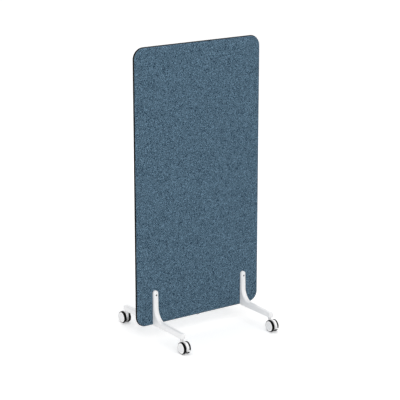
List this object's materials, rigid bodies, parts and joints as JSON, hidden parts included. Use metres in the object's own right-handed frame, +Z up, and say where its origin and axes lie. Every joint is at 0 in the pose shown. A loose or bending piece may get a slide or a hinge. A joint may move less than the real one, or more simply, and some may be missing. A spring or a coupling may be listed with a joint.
{
  "type": "rolling partition",
  "caption": "Freestanding upholstered screen panel with rounded corners and a zipped edge, on white L-shaped feet with twin-wheel swivel castors.",
  "frame": {"origin": "on the floor below the middle of the panel, at the bottom centre of the whole object", "axes": "+X along the panel to the right seen from its front, -Y is the front face, +Z up"},
  "size_m": [0.8016, 0.686, 1.5768],
  "materials": {
    "cover_fabric": "woven melange",
    "wadding": "soft felt",
    "core": "pressed fibre board",
    "timber": "planed, unfinished",
    "zip_tape": "woven tape",
    "zip_teeth": "moulded, satin",
    "foot_coat": "white powder coat",
    "castor_plastic": "white, glossy",
    "cap_plastic": "light grey, satin",
    "tyre_rubber": "smooth soft tread",
    "zinc_steel": "zinc plated",
    "black_steel": "black oxide"
  },
  "bodies": {
    "root": {"left_stile": "timber", "right_stile": "timber", "top_rail": "timber", "bottom_rail": "timber", "corner_blocks": "timber", "foot_blocks": "timber", "core_board": "core", "corner_dowels": "timber", "front_wadding": "wadding", "back_wadding": "wadding", "front_cover": "cover_fabric", "back_cover": "cover_fabric", "front_zip_tape": "zip_tape", "back_zip_tape": "zip_tape", "zip_chain": "zip_teeth", "zip_slider": "zinc_steel", "front_left_foot": "foot_coat", "front_right_foot": "foot_coat", "back_left_foot": "foot_coat", "back_right_foot": "foot_coat", "foot_bolts": "black_steel", "foot_sleeve_nuts": "black_steel", "foot_pins": "zinc_steel", "castor_stems": "zinc_steel"},
    "front_left_castor": {"front_left_hood": "castor_plastic", "front_left_axle": "zinc_steel"},
    "front_left_outer_wheel": {"front_left_outer_hub": "castor_plastic", "front_left_outer_tyre": "tyre_rubber", "front_left_outer_cap": "cap_plastic"},
    "front_left_inner_wheel": {"front_left_inner_hub": "castor_plastic", "front_left_inner_tyre": "tyre_rubber", "front_left_inner_cap": "cap_plastic"},
    "front_left_brake": {"front_left_brake_lever": "castor_plastic"},
    "front_right_castor": {"front_right_hood": "castor_plastic", "front_right_axle": "zinc_steel"},
    "front_right_outer_wheel": {"front_right_outer_hub": "castor_plastic", "front_right_outer_tyre": "tyre_rubber", "front_right_outer_cap": "cap_plastic"},
    "front_right_inner_wheel": {"front_right_inner_hub": "castor_plastic", "front_right_inner_tyre": "tyre_rubber", "front_right_inner_cap": "cap_plastic"},
    "front_right_brake": {"front_right_brake_lever": "castor_plastic"},
    "back_left_castor": {"back_left_hood": "castor_plastic", "back_left_axle": "zinc_steel"},
    "back_left_outer_wheel": {"back_left_outer_hub": "castor_plastic", "back_left_outer_tyre": "tyre_rubber", "back_left_outer_cap": "cap_plastic"},
    "back_left_inner_wheel": {"back_left_inner_hub": "castor_plastic", "back_left_inner_tyre": "tyre_rubber", "back_left_inner_cap": "cap_plastic"},
    "back_left_brake": {"back_left_brake_lever": "castor_plastic"},
    "back_right_castor": {"back_right_hood": "castor_plastic", "back_right_axle": "zinc_steel"},
    "back_right_outer_wheel": {"back_right_outer_hub": "castor_plastic", "back_right_outer_tyre": "tyre_rubber", "back_right_outer_cap": "cap_plastic"},
    "back_right_inner_wheel": {"back_right_inner_hub": "castor_plastic", "back_right_inner_tyre": "tyre_rubber", "back_right_inner_cap": "cap_plastic"},
    "back_right_brake": {"back_right_brake_lever": "castor_plastic"}
  },
  "joints": [
    {"name": "front_left_swivel", "type": "hinge", "parent": "root", "child": "front_left_castor", "pos_m": [-0.289, -0.267, 0.066], "axis": [0, 0, 1], "continuous": true},
    {"name": "front_left_outer_spin", "type": "hinge", "parent": "front_left_castor", "child": "front_left_outer_wheel", "pos_m": [-0.289, -0.29, 0.0325], "axis": [1, 0, 0], "continuous": true},
    {"name": "front_left_inner_spin", "type": "hinge", "parent": "front_left_castor", "child": "front_left_inner_wheel", "pos_m": [-0.289, -0.29, 0.0325], "axis": [1, 0, 0], "continuous": true},
    {"name": "front_left_brake_press", "type": "hinge", "parent": "front_left_castor", "child": "front_left_brake", "pos_m": [-0.289, -0.31163, 0.04043], "axis": [1, 0, 0], "range_deg": [0, 12]},
    {"name": "front_right_swivel", "type": "hinge", "parent": "root", "child": "front_right_castor", "pos_m": [0.289, -0.267, 0.066], "axis": [0, 0, 1], "continuous": true},
    {"name": "front_right_outer_spin", "type": "hinge", "parent": "front_right_castor", "child": "front_right_outer_wheel", "pos_m": [0.289, -0.29, 0.0325], "axis": [1, 0, 0], "continuous": true},
    {"name": "front_right_inner_spin", "type": "hinge", "parent": "front_right_castor", "child": "front_right_inner_wheel", "pos_m": [0.289, -0.29, 0.0325], "axis": [1, 0, 0], "continuous": true},
    {"name": "front_right_brake_press", "type": "hinge", "parent": "front_right_castor", "child": "front_right_brake", "pos_m": [0.289, -0.31163, 0.04043], "axis": [1, 0, 0], "range_deg": [0, 12]},
    {"name": "back_left_swivel", "type": "hinge", "parent": "root", "child": "back_left_castor", "pos_m": [-0.289, 0.267, 0.066], "axis": [0, 0, 1], "continuous": true},
    {"name": "back_left_outer_spin", "type": "hinge", "parent": "back_left_castor", "child": "back_left_outer_wheel", "pos_m": [-0.289, 0.29, 0.0325], "axis": [1, 0, 0], "continuous": true},
    {"name": "back_left_inner_spin", "type": "hinge", "parent": "back_left_castor", "child": "back_left_inner_wheel", "pos_m": [-0.289, 0.29, 0.0325], "axis": [1, 0, 0], "continuous": true},
    {"name": "back_left_brake_press", "type": "hinge", "parent": "back_left_castor", "child": "back_left_brake", "pos_m": [-0.289, 0.31163, 0.04043], "axis": [-1, 0, 0], "range_deg": [0, 12]},
    {"name": "back_right_swivel", "type": "hinge", "parent": "root", "child": "back_right_castor", "pos_m": [0.289, 0.267, 0.066], "axis": [0, 0, 1], "continuous": true},
    {"name": "back_right_outer_spin", "type": "hinge", "parent": "back_right_castor", "child": "back_right_outer_wheel", "pos_m": [0.289, 0.29, 0.0325], "axis": [1, 0, 0], "continuous": true},
    {"name": "back_right_inner_spin", "type": "hinge", "parent": "back_right_castor", "child": "back_right_inner_wheel", "pos_m": [0.289, 0.29, 0.0325], "axis": [1, 0, 0], "continuous": true},
    {"name": "back_right_brake_press", "type": "hinge", "parent": "back_right_castor", "child": "back_right_brake", "pos_m": [0.289, 0.31163, 0.04043], "axis": [-1, 0, 0], "range_deg": [0, 12]}
  ]
}
